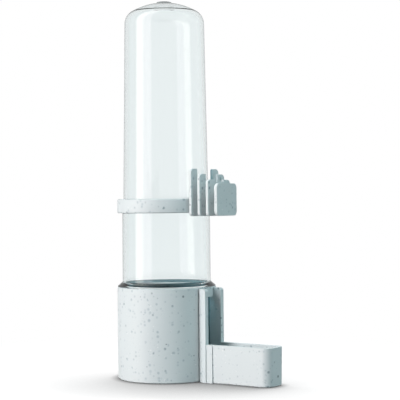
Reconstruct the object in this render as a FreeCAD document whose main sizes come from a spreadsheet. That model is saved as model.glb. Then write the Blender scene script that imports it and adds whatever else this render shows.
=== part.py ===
"""Bird cage waterer: a clear reservoir tube standing in a base cup with a drinking trough,
and a ring that hangs it on the wires of a cage.

Frame, in millimetres: the origin is on the tube's axis at the underside of the cup, +Z is up,
and the trough and the clip's fins point along +X. The part is the same on both sides of the
XZ plane.
"""
import FreeCAD, Part
import os
import re

import Sketcher

Vector = FreeCAD.Vector

# Driving sizes: alias, value in millimetres (degrees where the name says so), what it is
SIZES = (
    ("total_height", 160.0, "underside of the cup to the top of the tube"),
    ("cup_radius", 21.0, "outside of the cup"),
    ("cup_height", 38.9, "rim of the cup above the table"),
    ("cup_wall", 1.7, "wall of the cup"),
    ("cup_floor", 2.0, "floor of the cup and of the trough"),
    ("foot_bevel", 0.55, "bevel of the base's lower edge"),
    ("rim_bevel", 0.2, "bevel of the cup's rim, inside and outside"),
    ("trough_length", 33.4, "cup's wall to the end face of the trough"),
    ("trough_height", 15.75, "rim of the trough above the table"),
    ("trough_wall", 1.6, "side wall of the trough at its rim"),
    ("trough_end_wall", 1.4, "wall at the end of the trough"),
    ("trough_corner", 3.6, "rounding of the trough's end, seen from above"),
    ("trough_draft_degrees", 0.7, "mould draft of the trough's outside"),
    ("channel_half_width", 4.75, "inside of the trough and of the channel above it"),
    ("wing_depth", 3.3, "cup's wall to the front edge of the wings"),
    ("wing_step", 0.34, "how far the wings stand out past the trough's root, on each side"),
    ("wing_flare", 1.8, "how much wider the wings are at their front than in the cup's wall, on each side"),
    ("wing_drop", 0.3, "top of the wings below the cup's rim"),
    ("wing_corner", 1.3, "rounding of the wings' top corner"),
    ("shoulder_depth", 3.0, "front edge of the wings to the end of the trough's thicker root"),
    ("shoulder_step", 0.3, "how far the root stands out past the trough, on each side"),
    ("seam_width", 0.5, "narrow groove in the cup's wall beside each wing"),
    ("seam_depth", 0.5, "depth of that groove"),
    ("slot_drop", 4.0, "top of the slot in the cup's wall between the wings, below the cup's rim"),
    ("tube_wall", 1.2, "wall of the tube"),
    ("plug_clearance", 0.35, "gap between the tube's neck and the cup, on the radius"),
    ("mouth_drop", 6.1, "open mouth of the tube below the trough's rim, which sets the water"),
    ("flange_inset", 0.2, "edge of the tube's flange inside the cup's wall"),
    ("flange_edge", 0.3, "thickness of the flange at its edge, where it rests on the cup's rim"),
    ("flange_rise", 2.0, "cup's rim to the top of the flange, which slopes up to the tube"),
    ("neck_step", 0.15, "how far the tube steps in above its neck"),
    ("seat_taper", 0.15, "how much the tube's radius falls from the flange to the ring"),
    ("ring_step", 0.42, "how far the tube steps in above the ring's seat"),
    ("wall_taper", 1.25, "how much the tube's radius falls from the ring to the dome"),
    ("dome_radius", 28.0, "rounding of the dome, seen from the side"),
    ("dome_corner", 6.0, "rounding between the wall and the dome"),
    ("gate_radius", 3.3, "small flat disc left by the mould on the dome"),
    ("gate_height", 0.35, "height of that disc above the dome"),
    ("ring_stand", 31.3, "cup's rim to the underside of the ring, where the tube steps in"),
    ("ring_height", 5.9, "height of the ring"),
    ("ring_wall", 2.25, "wall of the ring"),
    ("ring_clearance", 0.3, "gap between the ring and the tube, on the radius"),
    ("ring_bevel", 0.4, "bevel of the ring's outer edges"),
    ("fin_inset", 0.5, "ring's bore to the inner face of the first fin"),
    ("fin_thickness", 1.2, "thickness of a fin"),
    ("fin_pitch", 3.5, "one fin to the next"),
    ("fin_drop", 1.35, "lower edge of all fins below the ring"),
    ("fin_height", 19.6, "height of the first fin"),
    ("fin_lowering", 2.3, "how much lower each next notched fin is"),
    ("fin_half_width", 10.3, "half the width of the first fin"),
    ("fin_narrowing", 0.93, "how much narrower each next fin is, on each side"),
    ("prong_width", 4.6, "width of the first fin beside its notch"),
    ("prong_widening", 0.25, "how much wider each next fin is beside its notch"),
    ("prong_corner", 1.9, "rounding of the notched fins' outer top corners"),
    ("notch_corner", 0.7, "rounding of the notches' top corners"),
    ("fin_foot_corner", 1.3, "rounding of the notched fins' lower corners"),
    ("least_notch", 1.0, "depth of the notch in the lowest notched fin; all notches end level"),
    ("end_fin_thickness", 1.5, "thickness of the last fin, which has no notch"),
    ("end_fin_drop", 0.6, "top of the last fin below the bottom of the notches"),
    ("end_fin_corner", 1.9, "rounding of the last fin's four corners"),
    ("web_half_thickness", 2.1, "half the thickness of the web between the fins"),
    ("web_margin", 1.2, "web's edges inside the last fin's edges"),
)

NOTCHED_FINS = 3

# Places that several pieces share, as texts that name sizes
TROUGH_REACH = "(cup_radius + trough_length)"
TROUGH_HALF_WIDTH = "(channel_half_width + trough_wall)"
SHOULDER_HALF_WIDTH = f"({TROUGH_HALF_WIDTH} + shoulder_step)"
WING_HALF_WIDTH = f"({SHOULDER_HALF_WIDTH} + wing_step)"
WING_REACH = "(cup_radius + wing_depth)"
WING_START = "(cup_radius - cup_wall)"
WING_ROOT_HALF_WIDTH = f"({WING_HALF_WIDTH} - wing_flare)"
SEAM_START = f"(sqrt(cup_radius ^ 2 - {WING_HALF_WIDTH} ^ 2) - seam_depth)"
SEAM_SHARE = f"(({SEAM_START} - {WING_START}) / (cup_wall + wing_depth))"
SEAM_ROOT_HALF_WIDTH = f"({WING_ROOT_HALF_WIDTH} + wing_flare * {SEAM_SHARE})"
WING_TOP = "(cup_height - wing_drop)"
SLOT_TOP = "(cup_height - slot_drop)"
MOUTH = "(trough_height - mouth_drop)"
FLANGE_TOP = "(cup_height + flange_rise)"
NECK_RADIUS = "(cup_radius - cup_wall - plug_clearance)"
FOOT_RADIUS = f"({NECK_RADIUS} - neck_step)"
SEAT_RADIUS = f"({FOOT_RADIUS} - seat_taper)"
UPPER_RADIUS = f"({SEAT_RADIUS} - ring_step)"
TOP_RADIUS = f"({UPPER_RADIUS} - wall_taper)"
RING_BOTTOM = "(cup_height + ring_stand)"
BORE_RADIUS = f"({UPPER_RADIUS} + ring_clearance)"
RING_RADIUS = f"({BORE_RADIUS} + ring_wall)"
FIN_START = f"({BORE_RADIUS} + fin_inset)"
FIN_BOTTOM = f"({RING_BOTTOM} - fin_drop)"
FIN_TOP = f"({FIN_BOTTOM} + fin_height)"
NOTCH_BOTTOM = f"({FIN_TOP} - {NOTCHED_FINS - 1} * fin_lowering - least_notch)"
END_FIN_TOP = f"({NOTCH_BOTTOM} - end_fin_drop)"

doc = FreeCAD.newDocument("bird_cage_waterer")
sheet = doc.addObject("Spreadsheet::Sheet", "sizes")
for row, (alias, number, meaning) in enumerate(SIZES, start=1):
    sheet.set(f"A{row}", meaning)
    sheet.set(f"B{row}", str(number))
    sheet.setAlias(f"B{row}", alias)
doc.recompute()

ALIASES = {alias for alias, number, meaning in SIZES}


def bound(text):
    """The expression for a text that names sizes, such as "cup_radius - cup_wall"."""
    return re.sub(r"[a-z_]+", lambda word: f"sizes.{word[0]}" if word[0] in ALIASES else word[0], text)


def value(text):
    """The number that a text naming sizes stands for now."""
    return float(sheet.evalExpression(bound(text)))


def body(name):
    """A new body, whose label names its file."""
    made = doc.addObject("PartDesign::Body", name)
    made.Label = name
    return made


def sketch_on(owner, name, plane, height="0"):
    """An empty sketch on one of the body's planes, moved along the plane's normal."""
    sketch = owner.newObject("Sketcher::SketchObject", name)
    support = next(item for item in owner.Origin.OriginFeatures if item.Role == f"{plane}_Plane")
    sketch.AttachmentSupport = [(support, "")]
    sketch.MapMode = "FlatFace"
    if height != "0":
        sketch.setExpression("AttachmentOffset.Base.z", bound(height))
    return sketch


def pin(sketch, edge, end, across, along):
    """Holds one end of an edge at a place given by two texts that name sizes."""
    for kind, axis, text in (("DistanceX", -2, across), ("DistanceY", -1, along)):
        if text == "0":
            sketch.addConstraint(Sketcher.Constraint("PointOnObject", edge, end, axis))
        else:
            index = sketch.addConstraint(Sketcher.Constraint(kind, -1, 1, edge, end, value(text)))
            sketch.setExpression(f"Constraints[{index}]", bound(text))


def circle(owner, name, radius, height="0"):
    """A sketch of one circle about the tube's axis."""
    sketch = sketch_on(owner, name, "XY", height)
    sketch.addGeometry(Part.Circle(Vector(0, 0, 0), Vector(0, 0, 1), value(radius)), False)
    sketch.addConstraint(Sketcher.Constraint("Coincident", 0, 3, -1, 1))
    index = sketch.addConstraint(Sketcher.Constraint("Radius", 0, value(radius)))
    sketch.setExpression(f"Constraints[{index}]", bound(radius))
    return sketch


def outline(owner, name, plane, corners, height="0"):
    """A sketch of one closed outline with straight edges between the given corners."""
    sketch = sketch_on(owner, name, plane, height)
    places = [Vector(value(across), value(along), 0) for across, along in corners]
    for start, end in zip(places, places[1:] + places[:1]):
        sketch.addGeometry(Part.LineSegment(start, end), False)
    for edge, (across, along) in enumerate(corners):
        sketch.addConstraint(Sketcher.Constraint("Coincident", edge, 2, (edge + 1) % len(corners), 1))
        pin(sketch, edge, 1, across, along)
    return sketch


def plan(owner, name, start, reach, half_width, height="0", start_half_width=None):
    """A sketch of a rectangle seen from above, along +X, or of a form whose two ends differ in width."""
    root = start_half_width or half_width
    corners = [(start, f"-{root}"), (reach, f"-{half_width}"), (reach, half_width), (start, root)]
    return outline(owner, name, "XY", corners, height)


def feature(owner, kind, name, sketch, **lengths):
    """A PartDesign feature made from a sketch, with its lengths bound to the sizes."""
    made = owner.newObject(f"PartDesign::{kind}", name)
    made.Profile = sketch
    for key, text in lengths.items():
        made.setExpression(key, bound(text))
    doc.recompute()
    return made


def turned(owner, kind, name, sketch):
    """A full turn of a sketch about the tube's axis, added or cut away."""
    made = owner.newObject(f"PartDesign::{kind}", name)
    made.Profile = sketch
    made.ReferenceAxis = (sketch, ["V_Axis"])
    made.Angle = 360.0
    doc.recompute()
    return made


def edges_where(source, test):
    """The names of the edges for which the test holds."""
    return [f"Edge{index}" for index, edge in enumerate(source.Shape.Edges, start=1) if test(edge)]


def rounded(owner, name, source, radius, test):
    """Rounds the edges of the latest feature for which the test holds."""
    made = owner.newObject("PartDesign::Fillet", name)
    made.Base = (source, edges_where(source, test))
    made.setExpression("Radius", bound(radius))
    doc.recompute()
    return made


def bevelled(owner, name, source, size, test):
    """Bevels the edges of the latest feature for which the test holds."""
    made = owner.newObject("PartDesign::Chamfer", name)
    made.Base = (source, edges_where(source, test))
    made.setExpression("Size", bound(size))
    doc.recompute()
    return made


def near(number, text, within=0.01):
    """Whether a number is at the place that a text naming sizes gives."""
    return abs(number - value(text)) < within


def flat_at(edge, text):
    """Whether an edge lies level at a height."""
    return near(edge.BoundBox.ZMin, text) and near(edge.BoundBox.ZMax, text)


def upright_at(edge, reach):
    """Whether an edge runs up the part at a distance along X."""
    return edge.BoundBox.ZLength > 1.0 and near(edge.BoundBox.XMin, reach) and near(edge.BoundBox.XMax, reach)


def is_circle(edge):
    """Whether an edge is a circle or part of one."""
    return not edge.Degenerated and isinstance(edge.Curve, Part.Circle)


def circle_at(edge, radius, height):
    """Whether an edge is a circle, or part of one, of a radius at a height."""
    return is_circle(edge) and near(edge.Curve.Radius, radius) and flat_at(edge, height)


def dome_outline(owner, name, corners, apex, dome, wall_radius):
    """A half section with straight edges up to the wall's top, closed by the dome's arc and the axis."""
    wall_top = (wall_radius, f"{apex} - {dome} + sqrt({dome} ^ 2 - {wall_radius} ^ 2)")
    places = [Vector(value(x), value(y), 0) for x, y in [*corners, wall_top, ("0", apex)]]
    sketch = sketch_on(owner, name, "XZ")
    for start, end in zip(places[:-2], places[1:-1]):
        sketch.addGeometry(Part.LineSegment(start, end), False)
    arc = add_arc(sketch, places[-2], places[-1], Vector(0, value(f"{apex} - {dome}"), 0), dome)
    axis = sketch.addGeometry(Part.LineSegment(places[-1], places[0]), False)
    for edge, (x, y) in enumerate(corners):
        pin(sketch, edge, 1, x, y)
    pin(sketch, arc, 1, *wall_top)
    pin(sketch, axis, 1, "0", apex)
    for edge in range(axis):
        sketch.addConstraint(Sketcher.Constraint("Coincident", edge, 2, edge + 1, 1))
    sketch.addConstraint(Sketcher.Constraint("Coincident", axis, 2, 0, 1))
    return sketch


def add_arc(sketch, start, end, centre, radius):
    """Adds an arc to a sketch, anticlockwise about its centre, with its radius bound to a size."""
    whole = Part.Circle(centre, Vector(0, 0, 1), value(radius))
    arc = sketch.addGeometry(Part.ArcOfCircle(whole, whole.parameter(start), whole.parameter(end)), False)
    index = sketch.addConstraint(Sketcher.Constraint("Radius", arc, value(radius)))
    sketch.setExpression(f"Constraints[{index}]", bound(radius))
    return arc


def make_base():
    """The base, one moulding: cup, trough with its thicker root, and the two wings."""
    base = body("base_cup")
    trough = feature(base, "Pad", "Trough",
                     plan(base, "TroughPlan", WING_REACH, TROUGH_REACH, TROUGH_HALF_WIDTH, "trough_height"),
                     Length="trough_height", TaperAngle="-trough_draft_degrees")
    trough.Reversed = True
    doc.recompute()
    ends = rounded(base, "TroughEnd", trough, "trough_corner",
                   lambda edge: edge.BoundBox.ZLength > 1 and edge.CenterOfMass.x > value(TROUGH_REACH) - 1)
    bevelled(base, "TroughFoot", ends, "foot_bevel",
             lambda edge: flat_at(edge, "0") and edge.CenterOfMass.x > value(WING_REACH) + 1)
    feature(base, "Pad", "Shoulder",
            plan(base, "ShoulderPlan", WING_REACH, f"{WING_REACH} + shoulder_depth", SHOULDER_HALF_WIDTH),
            Length="trough_height")
    wings = feature(base, "Pad", "Wings",
                    plan(base, "WingPlan", WING_START, WING_REACH, WING_HALF_WIDTH,
                         start_half_width=WING_ROOT_HALF_WIDTH),
                    Length=WING_TOP)
    rounded(base, "WingCorner", wings, "wing_corner",
            lambda edge: flat_at(edge, WING_TOP) and near(edge.CenterOfMass.x, WING_REACH))
    inner_reach = f"{TROUGH_REACH} - trough_end_wall"
    channel = feature(base, "Pocket", "Channel",
                      plan(base, "ChannelPlan", "0", inner_reach, "channel_half_width", WING_TOP),
                      Length=f"{WING_TOP} - cup_floor")
    rounded(base, "ChannelEnd", channel, "trough_corner - trough_end_wall",
            lambda edge: upright_at(edge, inner_reach))
    feature(base, "Pad", "Cup", circle(base, "CupPlan", "cup_radius"), Length="cup_height")
    feature(base, "Pocket", "CupInside", circle(base, "CupInsidePlan", "cup_radius - cup_wall", "cup_height"),
            Length="cup_height - cup_floor")
    slot = feature(base, "Pocket", "Slot",
                   plan(base, "SlotPlan", "0", "cup_radius + cup_wall", "channel_half_width", SLOT_TOP),
                   Length=f"{SLOT_TOP} - cup_floor")
    rim = bevelled(base, "CupRim", slot, "rim_bevel", lambda edge: flat_at(edge, "cup_height"))
    bevelled(base, "CupFoot", rim, "foot_bevel", lambda edge: circle_at(edge, "cup_radius", "0"))
    for side, name in (("-", "NearSeam"), ("", "FarSeam")):
        corners = [(SEAM_START, f"{side}{SEAM_ROOT_HALF_WIDTH}"),
                   (WING_REACH, f"{side}{WING_HALF_WIDTH}"),
                   (WING_REACH, f"{side}({WING_HALF_WIDTH} + seam_width)"),
                   (SEAM_START, f"{side}({SEAM_ROOT_HALF_WIDTH} + seam_width)")]
        feature(base, "Pocket", name, outline(base, f"{name}Plan", "XY", corners, WING_TOP), Length=WING_TOP)
    return base


def make_tube():
    """The clear reservoir, one moulding: neck, flange, stepped and tapered wall, and dome."""
    tube = body("reservoir_tube")
    dome_top = "total_height - gate_height"
    outside = [
        ("0", MOUTH),
        (NECK_RADIUS, MOUTH),
        (NECK_RADIUS, "cup_height"),
        ("cup_radius - flange_inset", "cup_height"),
        ("cup_radius - flange_inset", "cup_height + flange_edge"),
        (FOOT_RADIUS, FLANGE_TOP),
        (SEAT_RADIUS, RING_BOTTOM),
        (UPPER_RADIUS, RING_BOTTOM),
    ]
    blank = turned(tube, "Revolution", "TubeBlank",
                   dome_outline(tube, "TubeOutside", outside, dome_top, "dome_radius", TOP_RADIUS))
    rounded(tube, "DomeCorner", blank, "dome_corner",
            lambda edge: is_circle(edge) and near(edge.Curve.Radius, TOP_RADIUS))
    gate = feature(tube, "Pad", "Gate", circle(tube, "GatePlan", "gate_radius", "total_height"),
                   Length="gate_height + tube_wall / 2")
    gate.Reversed = True
    doc.recompute()
    inside = [
        ("0", MOUTH),
        (f"{NECK_RADIUS} - tube_wall", MOUTH),
        (f"{NECK_RADIUS} - tube_wall", "cup_height - tube_wall"),
        (f"{FOOT_RADIUS} - tube_wall", "cup_height + tube_wall"),
        (f"{SEAT_RADIUS} - tube_wall", f"{RING_BOTTOM} - tube_wall"),
        (f"{UPPER_RADIUS} - tube_wall", RING_BOTTOM),
    ]
    inner_top_radius = f"({TOP_RADIUS} - tube_wall)"
    hollow = turned(tube, "Groove", "TubeHollow",
                    dome_outline(tube, "TubeInside", inside, f"{dome_top} - tube_wall",
                                 "(dome_radius - tube_wall)", inner_top_radius))
    rounded(tube, "DomeInsideCorner", hollow, "dome_corner - tube_wall",
            lambda edge: is_circle(edge) and near(edge.Curve.Radius, inner_top_radius))
    return tube


def fin_place(number):
    """Where the inner face of a fin lies along X, as a text that names sizes."""
    return f"{FIN_START} + {number} * fin_pitch"


def make_fin(clip, number, corners, thickness, roundings):
    """Adds one fin to the clip and rounds its corners.

    Each rounding is a radius with the distance from the mirror plane and the height of its two corners.
    """
    drawn = outline(clip, f"FinOutline{number}", "YZ", corners, fin_place(number))
    latest = feature(clip, "Pad", f"Fin{number}", drawn, Length=thickness)
    inner_face = value(fin_place(number))
    for step, (radius, across, height) in enumerate(roundings):
        latest = rounded(clip, f"FinCorners{number}{step}", latest, radius,
                         lambda edge: edge.BoundBox.XLength > 0.5 and edge.CenterOfMass.x > inner_face
                         and near(abs(edge.CenterOfMass.y), across) and near(edge.CenterOfMass.z, height))


def make_clip():
    """The cage clip, one moulding: a ring round the tube and four fins on a web."""
    clip = body("ring_clip")
    ring = feature(clip, "Pad", "Ring", circle(clip, "RingPlan", RING_RADIUS, RING_BOTTOM),
                   Length="ring_height")
    bevelled(clip, "RingEdges", ring, "ring_bevel", is_circle)
    for number in range(NOTCHED_FINS):
        half = f"(fin_half_width - {number} * fin_narrowing)"
        top = f"({FIN_TOP} - {number} * fin_lowering)"
        notch = f"({half} - prong_width - {number} * prong_widening)"
        corners = [(f"-{half}", FIN_BOTTOM), (half, FIN_BOTTOM), (half, top), (notch, top),
                   (notch, NOTCH_BOTTOM), (f"-{notch}", NOTCH_BOTTOM), (f"-{notch}", top), (f"-{half}", top)]
        make_fin(clip, number, corners, "fin_thickness",
                 [("prong_corner", half, top), ("notch_corner", notch, top),
                  ("fin_foot_corner", half, FIN_BOTTOM)])
    half = f"(fin_half_width - {NOTCHED_FINS} * fin_narrowing)"
    corners = [(f"-{half}", FIN_BOTTOM), (half, FIN_BOTTOM), (half, END_FIN_TOP), (f"-{half}", END_FIN_TOP)]
    make_fin(clip, NOTCHED_FINS, corners, "end_fin_thickness",
             [("end_fin_corner", half, END_FIN_TOP), ("end_fin_corner", half, FIN_BOTTOM)])
    low, high = f"{FIN_BOTTOM} + web_margin", f"{END_FIN_TOP} - web_margin"
    corners = [("-web_half_thickness", low), ("web_half_thickness", low),
               ("web_half_thickness", high), ("-web_half_thickness", high)]
    feature(clip, "Pad", "Web", outline(clip, "WebOutline", "YZ", corners, FIN_START),
            Length=f"{NOTCHED_FINS} * fin_pitch + fin_thickness / 2")
    feature(clip, "Pocket", "RingBore", circle(clip, "BorePlan", BORE_RADIUS, FIN_TOP), Length="fin_height")
    return clip


nodes = [make_base(), make_tube(), make_clip()]
doc.recompute()

for item in doc.Objects:
    if {"Invalid", "Error"} & set(item.State):
        raise RuntimeError(f"{item.Name} did not build: {item.State}")

for node in nodes:
    shape = node.Shape
    if shape.isNull() or not shape.isValid() or len(shape.Solids) != 1:
        raise RuntimeError(f"{node.Label} is not one valid solid")

os.makedirs("parts", exist_ok=True)
for node in nodes:
    node.Shape.exportStep(f"parts/{node.Label}.step")
    box = node.Shape.optimalBoundingBox()
    size = f"{box.XLength:.2f} x {box.YLength:.2f} x {box.ZLength:.2f}"
    print(f"{node.Label}: {node.Shape.Volume:.0f} mm3, {size}")
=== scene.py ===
"""Looks of the bird cage waterer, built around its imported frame.

The clear reservoir is turned as one closed wall with a real thickness, and the speckled base
and cage clip are smooth, softly edged copies of their frame nodes. The pieces' sizes are in
millimetres in their classes and become metres in the meshes.
"""

import logging
import math
from dataclasses import dataclass
from enum import Enum
from typing import Callable

import bmesh
import bpy
from mathutils import Matrix, Vector

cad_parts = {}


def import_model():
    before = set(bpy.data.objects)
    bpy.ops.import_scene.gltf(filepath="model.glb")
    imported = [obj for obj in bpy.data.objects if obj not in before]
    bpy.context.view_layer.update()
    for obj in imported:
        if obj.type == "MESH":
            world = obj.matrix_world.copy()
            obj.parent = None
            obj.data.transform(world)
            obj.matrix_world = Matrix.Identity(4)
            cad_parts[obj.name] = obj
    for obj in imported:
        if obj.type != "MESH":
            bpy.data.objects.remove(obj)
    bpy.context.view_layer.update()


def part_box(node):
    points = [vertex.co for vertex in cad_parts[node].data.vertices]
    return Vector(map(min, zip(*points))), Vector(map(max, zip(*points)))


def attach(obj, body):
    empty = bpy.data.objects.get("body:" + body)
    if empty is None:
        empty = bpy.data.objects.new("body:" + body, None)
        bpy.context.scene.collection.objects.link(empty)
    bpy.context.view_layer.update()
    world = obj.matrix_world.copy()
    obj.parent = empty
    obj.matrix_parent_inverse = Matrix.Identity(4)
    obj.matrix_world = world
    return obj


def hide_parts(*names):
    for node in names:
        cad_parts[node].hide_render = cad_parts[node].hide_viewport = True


MM = 0.001
# The weight with which the largest face at a corner decides how the corner is shaded
LARGEST_FACE = 100
LOG = logging.getLogger("waterer")

Colour = tuple[float, float, float, float]
Corner = tuple[float, float, float]


class Slot(Enum):
    """The record's material slots."""

    SPECKLED = "speckled_plastic"
    CLEAR = "clear_plastic"


def link(tree: bpy.types.NodeTree, source: bpy.types.NodeSocket,
         target: bpy.types.NodeSocket) -> None:
    """Joins two sockets."""
    tree.links.new(source, target)


def math_node(tree: bpy.types.NodeTree, operation: str, first: bpy.types.NodeSocket,
              second: bpy.types.NodeSocket | float) -> bpy.types.NodeSocket:
    """Adds a math node.

    Args:
        tree: the node tree that takes it.
        operation: Blender's name of the operation.
        first: the first input.
        second: the second input, a socket or a number.

    Returns:
        The node's output.
    """
    node = tree.nodes.new("ShaderNodeMath")
    node.operation = operation
    link(tree, first, node.inputs[0])
    if isinstance(second, float):
        node.inputs[1].default_value = second
    else:
        link(tree, second, node.inputs[1])
    return node.outputs[0]


class SpeckGroup:
    """A shader node group that scatters round specks of uneven size and strength in the plastic.

    Each cell of a Voronoi pattern may hold one speck near its middle. Whether it does, and the
    speck's size and strength, come from the cell's own random colour.
    """

    NAME = "plastic_specks"
    # How unevenly the cells lie, from 0 for a grid to 1
    SCATTER = 0.85
    # The smallest speck as a share of the radius, and what the colour adds to it
    LEAST_SIZE = 0.4
    SIZE_SPREAD = 0.7
    # The faintest speck, and what the colour adds to it
    LEAST_STRENGTH = 0.4
    STRENGTH_SPREAD = 0.6

    def tree(self) -> bpy.types.NodeTree:
        """Finds or makes the group.

        Returns:
            The node group, with Vector, Cells per Metre, Share, Radius and Softness going in
            and Mask coming out.
        """
        if self.NAME in bpy.data.node_groups:
            return bpy.data.node_groups[self.NAME]
        tree = bpy.data.node_groups.new(self.NAME, "ShaderNodeTree")
        face = tree.interface
        face.new_socket("Vector", in_out="INPUT", socket_type="NodeSocketVector")
        for name in ("Cells per Metre", "Share", "Radius", "Softness"):
            face.new_socket(name, in_out="INPUT", socket_type="NodeSocketFloat")
        face.new_socket("Mask", in_out="OUTPUT", socket_type="NodeSocketFloat")
        start = tree.nodes.new("NodeGroupInput")
        end = tree.nodes.new("NodeGroupOutput")
        cells = tree.nodes.new("ShaderNodeTexVoronoi")
        cells.feature = "F1"
        cells.inputs["Randomness"].default_value = self.SCATTER
        link(tree, start.outputs["Vector"], cells.inputs["Vector"])
        link(tree, start.outputs["Cells per Metre"], cells.inputs["Scale"])
        chance = tree.nodes.new("ShaderNodeSeparateColor")
        link(tree, cells.outputs["Color"], chance.inputs["Color"])
        holds = math_node(tree, "LESS_THAN", chance.outputs["Red"], start.outputs["Share"])
        uneven = math_node(tree, "MULTIPLY", chance.outputs["Green"], self.SIZE_SPREAD)
        uneven = math_node(tree, "ADD", uneven, self.LEAST_SIZE)
        radius = math_node(tree, "MULTIPLY", uneven, start.outputs["Radius"])
        inside = math_node(tree, "SUBTRACT", radius, cells.outputs["Distance"])
        edge = math_node(tree, "DIVIDE", inside, start.outputs["Softness"])
        edge.node.use_clamp = True
        strength = math_node(tree, "MULTIPLY", chance.outputs["Blue"], self.STRENGTH_SPREAD)
        strength = math_node(tree, "ADD", strength, self.LEAST_STRENGTH)
        mask = math_node(tree, "MULTIPLY", math_node(tree, "MULTIPLY", edge, holds), strength)
        link(tree, mask, end.inputs["Mask"])
        return tree


@dataclass(frozen=True)
class SpeckLayer:
    """One size of speck.

    Attributes:
        cells_per_metre: how closely the cells lie that may hold a speck.
        share: the part of the cells that hold one where the specks are crowded.
        radius: the largest speck's radius, in cells.
        softness: how blurred its edge is, in cells.
        colour: the speck's colour.
    """

    cells_per_metre: float
    share: float
    radius: float
    softness: float
    colour: Colour


@dataclass(frozen=True)
class Noise:
    """A noise pattern.

    Attributes:
        scale: how closely its lumps lie, per metre.
        detail: how many finer layers it has.
    """

    scale: float
    detail: float


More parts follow.
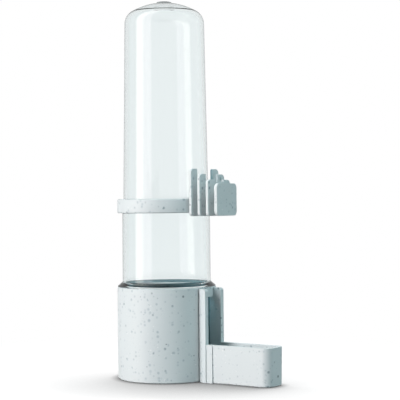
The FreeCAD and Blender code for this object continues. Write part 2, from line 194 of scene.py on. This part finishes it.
@dataclass(frozen=True)
class SpeckledPlastic:
    """Pale grey moulded plastic with dark and light specks in it.

    Attributes:
        base: its main colour.
        shade: the slightly darker colour that clouds it.
        cloud: the pattern of that clouding.
        roughness: its middle roughness.
        shinier: how much smoother its smoothest spots are.
        duller: how much rougher its roughest spots are.
        sheen: the pattern of those spots.
        grain: the pattern of its fine uneven surface.
        grain_height: the height of that, in mm.
        grain_strength: how strongly that shows.
        ior: its refractive index.
        crowds: the pattern of the places where its specks are crowded.
        sparse: the value of that pattern up to which it has no specks.
        crowded: the value from which it has all of them.
        layer_shift: how far each layer of specks is moved from the one before, in metres.
        layers: its specks, with each layer lying over those before it.
    """

    base: Colour = (0.735, 0.785, 0.790, 1.0)
    shade: Colour = (0.690, 0.745, 0.755, 1.0)
    cloud: Noise = Noise(55.0, 3.0)
    roughness: float = 0.36
    shinier: float = 0.04
    duller: float = 0.05
    sheen: Noise = Noise(240.0, 4.0)
    grain: Noise = Noise(1400.0, 2.0)
    grain_height: float = 0.012
    grain_strength: float = 0.35
    ior: float = 1.49
    crowds: Noise = Noise(130.0, 1.0)
    sparse: float = 0.35
    crowded: float = 0.65
    layer_shift: tuple[float, float, float] = (0.013, 0.007, 0.029)
    layers: tuple[SpeckLayer, ...] = (
        SpeckLayer(600.0, 0.80, 0.50, 0.38, (0.43, 0.51, 0.54, 1.0)),
        SpeckLayer(500.0, 0.50, 0.36, 0.24, (0.25, 0.33, 0.36, 1.0)),
        SpeckLayer(400.0, 0.28, 0.25, 0.14, (0.10, 0.15, 0.17, 1.0)),
        SpeckLayer(800.0, 0.30, 0.34, 0.24, (0.90, 0.92, 0.92, 1.0)),
    )

    def material(self) -> bpy.types.Material:
        """Makes the material.

        Returns:
            The speckled plastic.
        """
        made = bpy.data.materials.new(Slot.SPECKLED.value)
        made.use_nodes = True
        tree = made.node_tree
        shader = tree.nodes["Principled BSDF"]
        place = tree.nodes.new("ShaderNodeTexCoord").outputs["Object"]
        clouding = self._noise(tree, place, self.cloud)
        colour = self._mix(tree, clouding, self.base, self.shade)
        for index, layer in enumerate(self.layers):
            colour = self._add_layer(tree, place, colour, layer, index)
        link(tree, colour, shader.inputs["Base Color"])
        spots = tree.nodes.new("ShaderNodeMapRange")
        spots.inputs["To Min"].default_value = self.roughness - self.shinier
        spots.inputs["To Max"].default_value = self.roughness + self.duller
        link(tree, self._noise(tree, place, self.sheen), spots.inputs["Value"])
        link(tree, spots.outputs["Result"], shader.inputs["Roughness"])
        bump = tree.nodes.new("ShaderNodeBump")
        bump.inputs["Strength"].default_value = self.grain_strength
        bump.inputs["Distance"].default_value = self.grain_height * MM
        link(tree, self._noise(tree, place, self.grain), bump.inputs["Height"])
        link(tree, bump.outputs["Normal"], shader.inputs["Normal"])
        shader.inputs["IOR"].default_value = self.ior
        return made

    def _noise(self, tree: bpy.types.NodeTree, place: bpy.types.NodeSocket,
               pattern: Noise) -> bpy.types.NodeSocket:
        """Adds a noise pattern and returns its value."""
        noise = tree.nodes.new("ShaderNodeTexNoise")
        noise.inputs["Scale"].default_value = pattern.scale
        noise.inputs["Detail"].default_value = pattern.detail
        link(tree, place, noise.inputs["Vector"])
        return noise.outputs["Fac"]

    def _mix(self, tree: bpy.types.NodeTree, share: bpy.types.NodeSocket,
             first: bpy.types.NodeSocket | Colour, second: Colour) -> bpy.types.NodeSocket:
        """Mixes two colours by a share and returns the mixed colour."""
        mix = tree.nodes.new("ShaderNodeMix")
        mix.data_type = "RGBA"
        link(tree, share, mix.inputs[0])
        if isinstance(first, tuple):
            mix.inputs[6].default_value = first
        else:
            link(tree, first, mix.inputs[6])
        mix.inputs[7].default_value = second
        return mix.outputs[2]

    def _add_layer(self, tree: bpy.types.NodeTree, place: bpy.types.NodeSocket,
                   colour: bpy.types.NodeSocket, layer: SpeckLayer,
                   index: int) -> bpy.types.NodeSocket:
        """Lays one size of speck over a colour.

        Args:
            tree: the material's tree.
            place: the coordinates that the specks lie in.
            colour: the colour so far.
            layer: the specks.
            index: the layer's number, which moves its pattern away from the others.

        Returns:
            The colour with the specks.
        """
        moved = tree.nodes.new("ShaderNodeMapping")
        moved.inputs["Location"].default_value = [shift * index for shift in self.layer_shift]
        link(tree, place, moved.inputs["Vector"])
        specks = tree.nodes.new("ShaderNodeGroup")
        specks.node_tree = SpeckGroup().tree()
        specks.inputs["Cells per Metre"].default_value = layer.cells_per_metre
        crowd = tree.nodes.new("ShaderNodeMapRange")
        link(tree, self._noise(tree, moved.outputs["Vector"], self.crowds), crowd.inputs["Value"])
        crowd.inputs["From Min"].default_value = self.sparse
        crowd.inputs["From Max"].default_value = self.crowded
        crowd.inputs["To Max"].default_value = layer.share
        link(tree, crowd.outputs["Result"], specks.inputs["Share"])
        specks.inputs["Radius"].default_value = layer.radius
        specks.inputs["Softness"].default_value = layer.softness
        link(tree, moved.outputs["Vector"], specks.inputs["Vector"])
        return self._mix(tree, specks.outputs["Mask"], colour, layer.colour)


@dataclass(frozen=True)
class ClearPlastic:
    """Clear, faintly cool moulded plastic.

    Attributes:
        surface: the tint of the light that crosses its surfaces.
        depth: the tint that its thickness adds.
        density: how fast that tint builds up, per metre.
        let_through: the share of a lamp's light that gets through each surface.
        roughness: its roughness.
        ior: its refractive index.
    """

    surface: Colour = (0.945, 0.968, 0.970, 1.0)
    depth: Colour = (0.80, 0.865, 0.87, 1.0)
    density: float = 150.0
    let_through: Colour = (0.60, 0.74, 0.77, 1.0)
    roughness: float = 0.02
    ior: float = 1.50

    def material(self) -> bpy.types.Material:
        """Makes the material. Lamps shine through it, so it casts no dark shadow.

        Returns:
            The clear plastic.
        """
        made = bpy.data.materials.new(Slot.CLEAR.value)
        made.use_nodes = True
        tree = made.node_tree
        shader = tree.nodes["Principled BSDF"]
        shader.inputs["Base Color"].default_value = self.surface
        shader.inputs["Transmission Weight"].default_value = 1.0
        shader.inputs["IOR"].default_value = self.ior
        shader.inputs["Roughness"].default_value = self.roughness
        output = tree.nodes["Material Output"]
        through = tree.nodes.new("ShaderNodeBsdfTransparent")
        through.inputs["Color"].default_value = self.let_through
        path = tree.nodes.new("ShaderNodeLightPath")
        mix = tree.nodes.new("ShaderNodeMixShader")
        link(tree, path.outputs["Is Shadow Ray"], mix.inputs["Fac"])
        link(tree, shader.outputs["BSDF"], mix.inputs[1])
        link(tree, through.outputs["BSDF"], mix.inputs[2])
        link(tree, mix.outputs["Shader"], output.inputs["Surface"])
        volume = tree.nodes.new("ShaderNodeVolumeAbsorption")
        volume.inputs["Color"].default_value = self.depth
        volume.inputs["Density"].default_value = self.density
        link(tree, volume.outputs["Volume"], output.inputs["Volume"])
        return made


def rounded_line(corners: list[Corner], steps: int) -> list[Vector]:
    """Rounds the corners of a line in the XZ plane.

    Args:
        corners: each corner as its radius from the axis, its height and its rounding, in mm.
        steps: how many straight pieces a quarter turn of rounding gets.

    Returns:
        The points of the line, in metres.
    """
    points = []
    for index, (across, height, rounding) in enumerate(corners):
        corner = Vector((across, 0.0, height))
        if rounding == 0.0:
            points.append(corner * MM)
            continue
        before = Vector((corners[index - 1][0], 0.0, corners[index - 1][1])) - corner
        after = Vector((corners[index + 1][0], 0.0, corners[index + 1][1])) - corner
        before.normalize()
        after.normalize()
        half = before.angle(after) / 2
        middle = corner + (before + after).normalized() * (rounding / math.sin(half))
        start = corner + before * (rounding / math.tan(half)) - middle
        end = corner + after * (rounding / math.tan(half)) - middle
        count = max(2, round(steps * start.angle(end) / (math.pi / 2)))
        for step in range(count + 1):
            points.append((middle + start.slerp(end, step / count).normalized() * rounding) * MM)
    return points


@dataclass
class ReservoirTube:
    """The clear reservoir: open neck, flange, stepped and tapered wall, and dome.

    Attributes:
        node: the frame node that it stands for.
        body: the body that it rides on.
        wall: thickness of the wall.
        neck_radius: outside of the neck, which stands in the cup.
        seat_gap: gap between the flange and the cup's rim.
        flange_height: the cup's rim above the table.
        flange_rise: the rim to the top of the flange's slope.
        flange_edge: thickness of the flange at its edge.
        flange_rounding: rounding of the flange's edge.
        seat_rounding: rounding between the flange and the neck.
        mouth_rounding: rounding of the neck's open end.
        cove: rounding between the flange and the wall.
        inner_rounding: rounding of the bends inside, behind the flange.
        foot_radius: outside of the wall above the flange.
        step_height: the step, where the ring sits, above the table.
        step_radius: outside of the wall below the step.
        step: how far the wall steps in.
        step_top_rounding: rounding of the step's inner corner.
        step_edge_rounding: rounding of its outer corner.
        inner_bend: rounding of the slight bend inside, behind the step.
        top_radius: outside of the wall below the dome.
        dome_radius: rounding of the dome.
        dome_corner: rounding between the wall and the dome.
        gate_radius: the flat disc on the dome.
        gate_height: height of that disc above the dome.
        gate_edge: points of its rounded edge, each as how far in and how far down it lies.
        gate_foot: how far outside the disc the dome's own points start.
        corner_steps: straight pieces in the rounding between the wall and the dome.
        dome_steps: straight pieces in the dome.
        rounding_steps: straight pieces in a quarter turn of any other rounding.
        turns: faces round the tube.
        merge: how close two points are that become one, in metres.

    The lengths are in millimetres, apart from the last one.
    """

    node: str = "reservoir_tube"
    body: str = "tube"
    wall: float = 1.2
    neck_radius: float = 18.95
    seat_gap: float = 0.03
    flange_height: float = 38.9
    flange_rise: float = 2.0
    flange_edge: float = 0.3
    flange_rounding: float = 0.12
    seat_rounding: float = 0.15
    mouth_rounding: float = 0.5
    cove: float = 0.8
    inner_rounding: float = 0.8
    foot_radius: float = 18.8
    step_height: float = 70.2
    step_radius: float = 18.65
    step: float = 0.42
    step_top_rounding: float = 0.25
    step_edge_rounding: float = 0.2
    inner_bend: float = 20.0
    top_radius: float = 16.98
    dome_radius: float = 28.0
    dome_corner: float = 6.0
    gate_radius: float = 3.3
    gate_height: float = 0.35
    gate_edge: tuple[tuple[float, float], ...] = ((0.35, 0.0), (0.1, 0.08), (0.0, 0.25))
    gate_foot: float = 0.3
    corner_steps: int = 14
    dome_steps: int = 13
    rounding_steps: int = 6
    turns: int = 160
    merge: float = 1e-6

    def dome(self, wall_radius: float, apex: float, radius: float, corner: float) -> list[Corner]:
        """Works out the dome from the wall to the axis.

        Args:
            wall_radius: the wall's radius where the dome starts.
            apex: the height of the dome on the axis.
            radius: the dome's own radius.
            corner: the rounding between the wall and the dome.

        Returns:
            Points from the wall to near the axis, as corners with no rounding.
        """
        centre = apex - radius
        across = wall_radius - corner
        height = centre + math.sqrt((radius - corner) ** 2 - across ** 2)
        meets = math.atan2(height - centre, across)
        points = []
        for step in range(self.corner_steps + 1):
            angle = meets * step / self.corner_steps
            points.append((across + corner * math.cos(angle), height + corner * math.sin(angle), 0.0))
        for step in range(1, self.dome_steps):
            angle = meets + (math.pi / 2 - meets) * step / self.dome_steps
            points.append((radius * math.cos(angle), centre + radius * math.sin(angle), 0.0))
        return points

    def outline(self) -> list[Vector]:
        """Works out the half section, from the dome's top down the outside and back up inside.

        Returns:
            The points of the section, in metres, with both ends on the axis.
        """
        low, high = (corner.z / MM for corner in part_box(self.node))
        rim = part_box(self.node)[1].x / MM
        apex = high - self.gate_height
        upper = self.step_radius - self.step
        flange_top = self.flange_height + self.flange_rise
        seat = self.flange_height + self.seat_gap
        outside = self.dome(self.top_radius, apex, self.dome_radius, self.dome_corner)
        neck_inside = self.neck_radius - self.wall
        foot_inside = self.foot_radius - self.wall
        dome_start = self.gate_radius + self.gate_foot
        shell = [(0.0, high, 0.0)]
        shell += [(self.gate_radius - inward, high - down, 0.0) for inward, down in self.gate_edge]
        shell += [point for point in reversed(outside) if point[0] > dome_start]
        shell += [
            (upper, self.step_height, self.step_top_rounding),
            (self.step_radius, self.step_height, self.step_edge_rounding),
            (self.foot_radius, flange_top, self.cove),
            (rim, seat + self.flange_edge, self.flange_rounding),
            (rim, seat, self.flange_rounding),
            (self.neck_radius, seat, self.seat_rounding),
            (self.neck_radius, low, self.mouth_rounding),
            (neck_inside, low, self.mouth_rounding),
            (neck_inside, self.flange_height - self.wall, self.inner_rounding),
            (foot_inside, self.flange_height + self.wall, self.inner_rounding),
            (upper - self.wall, self.step_height, self.inner_bend),
        ]
        shell += self.dome(self.top_radius - self.wall, apex - self.wall,
                           self.dome_radius - self.wall, self.dome_corner - self.wall)
        shell.append((0.0, apex - self.wall, 0.0))
        return rounded_line(shell, self.rounding_steps)

    def build(self) -> bpy.types.Object:
        """Turns the section about the axis.

        Returns:
            The tube as one closed wall.
        """
        mesh = bmesh.new()
        points = [mesh.verts.new(point) for point in self.outline()]
        edges = [mesh.edges.new(pair) for pair in zip(points, points[1:])]
        bmesh.ops.spin(mesh, geom=points + edges, cent=(0, 0, 0), axis=(0, 0, 1), angle=math.tau,
                       steps=self.turns, use_merge=True)
        bmesh.ops.remove_doubles(mesh, verts=mesh.verts, dist=self.merge)
        bmesh.ops.recalc_face_normals(mesh, faces=mesh.faces)
        return finished(mesh, "tube_shell", self.node, self.body)


@dataclass
class MouldedPiece:
    """A piece of speckled plastic: a merged copy of its frame node with soft outer edges.

    Attributes:
        node: the frame node that it copies and stands for.
        body: the body that it rides on.
        name: the object's name.
        edge_round: how far in the outer edges are rounded, in mm.
        edge_steps: straight pieces in that rounding.
        sharp: the angle from which an outer edge is rounded.
        crease: the angle from which an inner edge stays hard.
        flat: the angle below which neighbouring faces are joined.
        merge: how close two points are that become one, in metres.
    """

    node: str
    body: str
    name: str
    edge_round: float = 0.28
    edge_steps: int = 3
    sharp: float = math.radians(55)
    crease: float = math.radians(25)
    flat: float = math.radians(1.0)
    merge: float = 2e-6

    def build(self) -> bpy.types.Object:
        """Copies the node, joins its flat faces, rounds its outer edges and marks its inner ones.

        Returns:
            The piece.
        """
        mesh = bmesh.new()
        mesh.from_mesh(bpy.data.objects[self.node].data)
        bmesh.ops.remove_doubles(mesh, verts=mesh.verts, dist=self.merge)
        bmesh.ops.dissolve_limit(mesh, angle_limit=self.flat, verts=mesh.verts, edges=mesh.edges)
        outer = [edge for edge in mesh.edges
                 if edge.is_convex and edge.calc_face_angle(0.0) > self.sharp]
        bmesh.ops.bevel(mesh, geom=outer, offset=self.edge_round * MM, offset_type="OFFSET",
                        segments=self.edge_steps, profile=0.5, affect="EDGES", material=-1,
                        clamp_overlap=True)
        for edge in mesh.edges:
            edge.smooth = edge.is_convex or edge.calc_face_angle(0.0) < self.crease
        return finished(mesh, self.name, self.node, self.body)


def finished(mesh: bmesh.types.BMesh, name: str, node: str, body: str) -> bpy.types.Object:
    """Makes an object of a mesh, keeps its large faces flat and hands it to the frame.

    Args:
        mesh: the mesh, which is freed.
        name: the object's name.
        node: the frame node that it stands for.
        body: the body that it rides on.

    Returns:
        The object.
    """
    for face in mesh.faces:
        face.smooth = True
    data = bpy.data.meshes.new(f"{name}_shape")
    mesh.to_mesh(data)
    mesh.free()
    made = bpy.data.objects.new(name, data)
    bpy.context.scene.collection.objects.link(made)
    even = made.modifiers.new("even_shading", "WEIGHTED_NORMAL")
    even.keep_sharp = True
    even.weight = LARGEST_FACE
    graph = bpy.context.evaluated_depsgraph_get()
    made.data = bpy.data.meshes.new_from_object(made.evaluated_get(graph), depsgraph=graph)
    made.data.name = name
    made.modifiers.clear()
    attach(made, body)
    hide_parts(node)
    LOG.info("%s: %d faces", name, len(made.data.polygons))
    return made


@dataclass(frozen=True)
class Lamp:
    """A soft lamp that faces the object. Neither gloss nor clear plastic shows it.

    Attributes:
        name: the lamp's name.
        turn: degrees from the camera about the object, with the left negative.
        lift: degrees above the floor.
        distance: metres from the object.
        size: width and height in metres.
        watts: its power.
        colour: its colour.
    """

    name: str
    turn: float
    lift: float
    distance: float
    size: tuple[float, float]
    watts: float
    colour: tuple[float, float, float]


@dataclass(frozen=True)
class Glow:
    """A broad soft glow over half of the surround, which lights the object.

    Attributes:
        turn: degrees from the camera about the object, with the left negative.
        lift: degrees above the floor.
        strength: its brightness in the middle.
        colour: its colour.
    """

    turn: float
    lift: float
    strength: float
    colour: Colour


@dataclass(frozen=True)
class Panel:
    """A tall soft panel that shows only by reflection, in gloss and inside the clear plastic.

    Attributes:
        turn: degrees from the camera about the object, with the left negative.
        half_width: degrees from its middle to where it has faded out.
        edge: degrees over which it fades.
        strength: its brightness.
        colour: its colour.
    """

    turn: float
    half_width: float
    edge: float
    strength: float
    colour: Colour


@dataclass
class Studio:
    """A pale floor, a white surround, soft lamps, and the camera at the photograph's angle.

    Attributes:
        turn: the camera's turn about the object from the row's front, in radians.
        distance: the camera's distance from the tube's axis, in mm.
        aside: how far the camera stands to the right of that axis, in mm.
        eye_height: the camera's height, in mm.
        roll: the camera's roll, in radians.
        focal_pixels: the lens's focal length, in pixels of the photograph.
        frame_pixels: the photograph's width, in pixels.
        sensor: the sensor's width, in mm.
        nearest: the nearest that the camera sees, in metres.
        aim_height: the height that the lamps face, in metres.
        floor_radius: the floor's radius, in metres.
        floor_sides: the floor's number of sides.
        white_from: where the floor starts to turn plain white, in metres from the axis.
        white_to: where it is plain white.
        shade_reach: how far the painted soft shade round the object reaches, in metres.
        shade_depth: how strong that painted shade is.
        shade_lean: how high above the floor, in degrees, the floor looks for what shades it,
            away from the camera.
        line_reach: how far the painted narrow dark line under the object reaches, in metres.
        bounce: the floor's tone in the light that it throws up.
        cast_share: the floor's tone to the eye, which the lamps' shadows show in.
        gloss_share: how white the surround is in gloss.
        surround: the glow that lights the object.
        panels: the soft panels that gloss shows.
        lamps: the lamps.
    """

    turn: float = math.radians(34.0)
    distance: float = 524.0
    aside: float = 14.55
    eye_height: float = 75.45
    roll: float = math.radians(0.56)
    focal_pixels: float = 1226.0
    frame_pixels: float = 400.0
    sensor: float = 36.0
    nearest: float = 0.01
    aim_height: float = 0.06
    floor_radius: float = 12.0
    floor_sides: int = 96
    white_from: float = 0.09
    white_to: float = 0.16
    shade_reach: float = 0.045
    shade_depth: float = 0.9
    shade_lean: float = 40.0
    line_reach: float = 0.004
    bounce: float = 0.35
    cast_share: float = 0.06
    gloss_share: float = 0.45
    surround: Glow = Glow(180, 10, 0.15, (0.85, 0.97, 1.0, 1.0))
    panels: tuple[Panel, ...] = (
        Panel(-75, 15.0, 6.0, 2.6, (1.0, 0.88, 0.80, 1.0)),
        Panel(-50, 15.0, 6.0, 1.2, (1.0, 0.80, 0.86, 1.0)),
    )
    lamps: tuple[Lamp, ...] = (
        Lamp("key", -59, 16, 1.2, (0.5, 1.6), 22.6, (1.0, 0.975, 0.985)),
        Lamp("side", -95, 16, 1.2, (0.4, 1.6), 2.2, (1.0, 1.0, 0.9)),
        Lamp("fill", 60, 14, 1.2, (0.5, 1.4), 4.3, (0.68, 0.95, 1.0)),
        Lamp("high", 60, 66, 1.2, (0.6, 0.6), 5.6, (0.74, 0.96, 1.0)),
        Lamp("back", 165, 25, 1.2, (1.0, 1.2), 11.0, (0.95, 0.99, 1.0)),
    )

    @property
    def right(self) -> Vector:
        """The camera's right in the row frame."""
        return Vector((math.cos(self.turn), math.sin(self.turn), 0))

    @property
    def away(self) -> Vector:
        """The camera's level viewing direction in the row frame."""
        return Vector((-math.sin(self.turn), math.cos(self.turn), 0))

    def camera(self) -> None:
        """Sets up the camera."""
        data = bpy.data.cameras.new("camera")
        data.sensor_width = self.sensor
        data.lens = self.focal_pixels * self.sensor / self.frame_pixels
        data.clip_start = self.nearest
        made = bpy.data.objects.new("camera", data)
        bpy.context.scene.collection.objects.link(made)
        up = Vector((0, 0, 1))
        right = self.right * math.cos(self.roll) - up * math.sin(self.roll)
        top = up * math.cos(self.roll) + self.right * math.sin(self.roll)
        made.matrix_world = Matrix((right, top, -self.away)).transposed().to_4x4()
        place = self.right * self.aside - self.away * self.distance + up * self.eye_height
        made.location = place * MM
        bpy.context.scene.camera = made

    def towards(self, turn: float, lift: float) -> Vector:
        """Works out a direction from the object.

        Args:
            turn: degrees from the camera about the object, with the left negative.
            lift: degrees above the floor.

        Returns:
            The direction, one long.
        """
        swing, rise = math.radians(turn), math.radians(lift)
        level = self.right * math.sin(swing) - self.away * math.cos(swing)
        return level * math.cos(rise) + Vector((0, 0, math.sin(rise)))

    def light(self, lamp: Lamp) -> None:
        """Hangs up one lamp.

        Args:
            lamp: what it is and where it hangs.
        """
        data = bpy.data.lights.new(lamp.name, "AREA")
        data.shape = "RECTANGLE"
        data.size, data.size_y = lamp.size
        data.energy = lamp.watts
        data.color = lamp.colour
        made = bpy.data.objects.new(lamp.name, data)
        bpy.context.scene.collection.objects.link(made)
        towards = self.towards(lamp.turn, lamp.lift)
        made.location = Vector((0, 0, self.aim_height)) + towards * lamp.distance
        made.rotation_euler = towards.to_track_quat("Z", "Y").to_euler()
        made.visible_glossy = False
        made.visible_transmission = False

    def glow(self, tree: bpy.types.NodeTree) -> bpy.types.NodeSocket:
        """Adds the glow to the surround.

        Args:
            tree: the world's tree.

        Returns:
            The glow's shader.
        """
        facing = tree.nodes.new("ShaderNodeVectorMath")
        facing.operation = "DOT_PRODUCT"
        link(tree, tree.nodes.new("ShaderNodeTexCoord").outputs["Object"], facing.inputs[0])
        facing.inputs[1].default_value = self.towards(self.surround.turn, self.surround.lift)
        front = math_node(tree, "MAXIMUM", facing.outputs["Value"], 0.0)
        brightness = math_node(tree, "MULTIPLY", front, self.surround.strength)
        light = tree.nodes.new("ShaderNodeBackground")
        light.inputs["Color"].default_value = self.surround.colour
        link(tree, brightness, light.inputs["Strength"])
        return light.outputs["Background"]

    def shine(self, tree: bpy.types.NodeTree, panel: Panel,
              share: bpy.types.NodeSocket) -> bpy.types.NodeSocket:
        """Adds one panel to the surround.

        Args:
            tree: the world's tree.
            panel: the panel.
            share: how much of it shows to the ray.

        Returns:
            The panel's shader.
        """
        level = tree.nodes.new("ShaderNodeVectorMath")
        level.operation = "MULTIPLY"
        link(tree, tree.nodes.new("ShaderNodeTexCoord").outputs["Object"], level.inputs[0])
        level.inputs[1].default_value = (1, 1, 0)
        heading = tree.nodes.new("ShaderNodeVectorMath")
        heading.operation = "NORMALIZE"
        link(tree, level.outputs["Vector"], heading.inputs[0])
        facing = tree.nodes.new("ShaderNodeVectorMath")
        facing.operation = "DOT_PRODUCT"
        link(tree, heading.outputs["Vector"], facing.inputs[0])
        facing.inputs[1].default_value = self.towards(panel.turn, 0)
        band = tree.nodes.new("ShaderNodeMapRange")
        band.interpolation_type = "SMOOTHSTEP"
        link(tree, facing.outputs["Value"], band.inputs["Value"])
        full_width = panel.half_width - panel.edge
        band.inputs["From Min"].default_value = math.cos(math.radians(panel.half_width))
        band.inputs["From Max"].default_value = math.cos(math.radians(full_width))
        band.inputs["To Max"].default_value = panel.strength
        brightness = math_node(tree, "MULTIPLY", band.outputs["Result"], share)
        light = tree.nodes.new("ShaderNodeBackground")
        light.inputs["Color"].default_value = panel.colour
        link(tree, brightness, light.inputs["Strength"])
        return light.outputs["Background"]

    def world(self) -> None:
        """Makes the surround.

        It is white to the eye and through clear plastic, partly white in gloss, and a soft glow
        to all else. The panels show only after a reflection.
        """
        made = bpy.data.worlds.new("surround")
        bpy.context.scene.world = made
        made.use_nodes = True
        tree = made.node_tree
        seen = tree.nodes["Background"]
        seen.inputs["Color"].default_value = (1, 1, 1, 1)
        lights = self.glow(tree)
        path = tree.nodes.new("ShaderNodeLightPath")
        direct = math_node(tree, "LESS_THAN", path.outputs["Diffuse Depth"], 0.5)
        through = math_node(tree, "MULTIPLY", path.outputs["Is Transmission Ray"], direct)
        gloss = math_node(tree, "MULTIPLY", path.outputs["Is Glossy Ray"], direct)
        gloss = math_node(tree, "MULTIPLY", gloss, self.gloss_share)
        white = math_node(tree, "MAXIMUM", path.outputs["Is Camera Ray"], through)
        white = math_node(tree, "MAXIMUM", white, gloss)
        mix = tree.nodes.new("ShaderNodeMixShader")
        link(tree, white, mix.inputs["Fac"])
        link(tree, lights, mix.inputs[1])
        link(tree, seen.outputs["Background"], mix.inputs[2])
        reflected = math_node(tree, "GREATER_THAN", path.outputs["Glossy Depth"], 0.5)
        mirrored = math_node(tree, "MULTIPLY", direct, reflected)
        whole = mix.outputs["Shader"]
        for panel in self.panels:
            both = tree.nodes.new("ShaderNodeAddShader")
            link(tree, whole, both.inputs[0])
            link(tree, self.shine(tree, panel, mirrored), both.inputs[1])
            whole = both.outputs["Shader"]
        link(tree, whole, tree.nodes["World Output"].inputs["Surface"])

    def floor(self) -> None:
        """Makes the floor.

        Near the object it takes the lamps' shadows, and its glow to the eye is darkened where it is
        closed in, into a painted soft shade and a painted dark line; further out it is plain white.
        Gloss and clear plastic show the surround in its place.
        """
        mesh = bmesh.new()
        bmesh.ops.create_circle(mesh, cap_ends=True, radius=self.floor_radius,
                                segments=self.floor_sides)
        data = bpy.data.meshes.new("floor")
        mesh.to_mesh(data)
        mesh.free()
        made = bpy.data.objects.new("floor", data)
        bpy.context.scene.collection.objects.link(made)
        paint = bpy.data.materials.new("floor")
        paint.use_nodes = True
        tree = paint.node_tree
        tree.nodes.remove(tree.nodes["Principled BSDF"])
        path = tree.nodes.new("ShaderNodeLightPath")
        seen = path.outputs["Is Camera Ray"]
        matt = tree.nodes.new("ShaderNodeBsdfDiffuse")
        tone = tree.nodes.new("ShaderNodeMapRange")
        link(tree, seen, tone.inputs["Value"])
        tone.inputs["To Min"].default_value = self.bounce
        tone.inputs["To Max"].default_value = self.cast_share
        link(tree, tone.outputs["Result"], matt.inputs["Color"])
        # Painted shade: the floor's glow to the eye is darkened where it is closed in, with a long
        # reach that looks away from the camera and a short one that paints a dark line under the
        # object.
        shade = tree.nodes.new("ShaderNodeAmbientOcclusion")
        shade.inputs["Distance"].default_value = self.shade_reach
        leaning = tree.nodes.new("ShaderNodeCombineXYZ")
        for axis, part in zip("XYZ", self.towards(180, self.shade_lean)):
            leaning.inputs[axis].default_value = part
        link(tree, leaning.outputs["Vector"], shade.inputs["Normal"])
        line = tree.nodes.new("ShaderNodeAmbientOcclusion")
        line.inputs["Distance"].default_value = self.line_reach
        openness = math_node(tree, "POWER", shade.outputs["AO"], self.shade_depth)
        openness = math_node(tree, "MULTIPLY", openness, line.outputs["AO"])
        pale = tree.nodes.new("ShaderNodeEmission")
        link(tree, math_node(tree, "MULTIPLY", openness, seen), pale.inputs["Strength"])
        lit = tree.nodes.new("ShaderNodeAddShader")
        link(tree, matt.outputs["BSDF"], lit.inputs[0])
        link(tree, pale.outputs["Emission"], lit.inputs[1])
        plain = tree.nodes.new("ShaderNodeEmission")
        length = tree.nodes.new("ShaderNodeVectorMath")
        length.operation = "LENGTH"
        link(tree, tree.nodes.new("ShaderNodeTexCoord").outputs["Object"], length.inputs[0])
        fade = tree.nodes.new("ShaderNodeMapRange")
        fade.interpolation_type = "SMOOTHSTEP"
        link(tree, length.outputs["Value"], fade.inputs["Value"])
        fade.inputs["From Min"].default_value = self.white_from
        fade.inputs["From Max"].default_value = self.white_to
        mix = tree.nodes.new("ShaderNodeMixShader")
        link(tree, math_node(tree, "MULTIPLY", fade.outputs["Result"], seen), mix.inputs["Fac"])
        link(tree, lit.outputs["Shader"], mix.inputs[1])
        link(tree, plain.outputs["Emission"], mix.inputs[2])
        link(tree, mix.outputs["Shader"], tree.nodes["Material Output"].inputs["Surface"])
        data.materials.append(paint)
        made.visible_glossy = False
        made.visible_transmission = False

    def build(self) -> None:
        """Sets up everything around the object."""
        self.camera()
        self.world()
        self.floor()
        for lamp in self.lamps:
            self.light(lamp)
        bpy.context.scene.view_settings.view_transform = "Standard"


def dress(piece: bpy.types.Object, material: bpy.types.Material) -> None:
    """Gives a piece its material."""
    piece.data.materials.clear()
    piece.data.materials.append(material)


def main() -> None:
    """Builds the pieces in order, dresses them and sets up the studio."""
    logging.basicConfig(level=logging.INFO)
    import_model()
    speckled = SpeckledPlastic().material()
    clear = ClearPlastic().material()
    pieces: list[tuple[Callable[[], bpy.types.Object], bpy.types.Material]] = [
        (MouldedPiece("base_cup", "base", "base_shell").build, speckled),
        (MouldedPiece("ring_clip", "clip", "clip_shell", edge_round=0.22).build, speckled),
        (ReservoirTube().build, clear),
    ]
    for build, material in pieces:
        dress(build(), material)
    Studio().build()


if __name__ == "__main__":
    main()
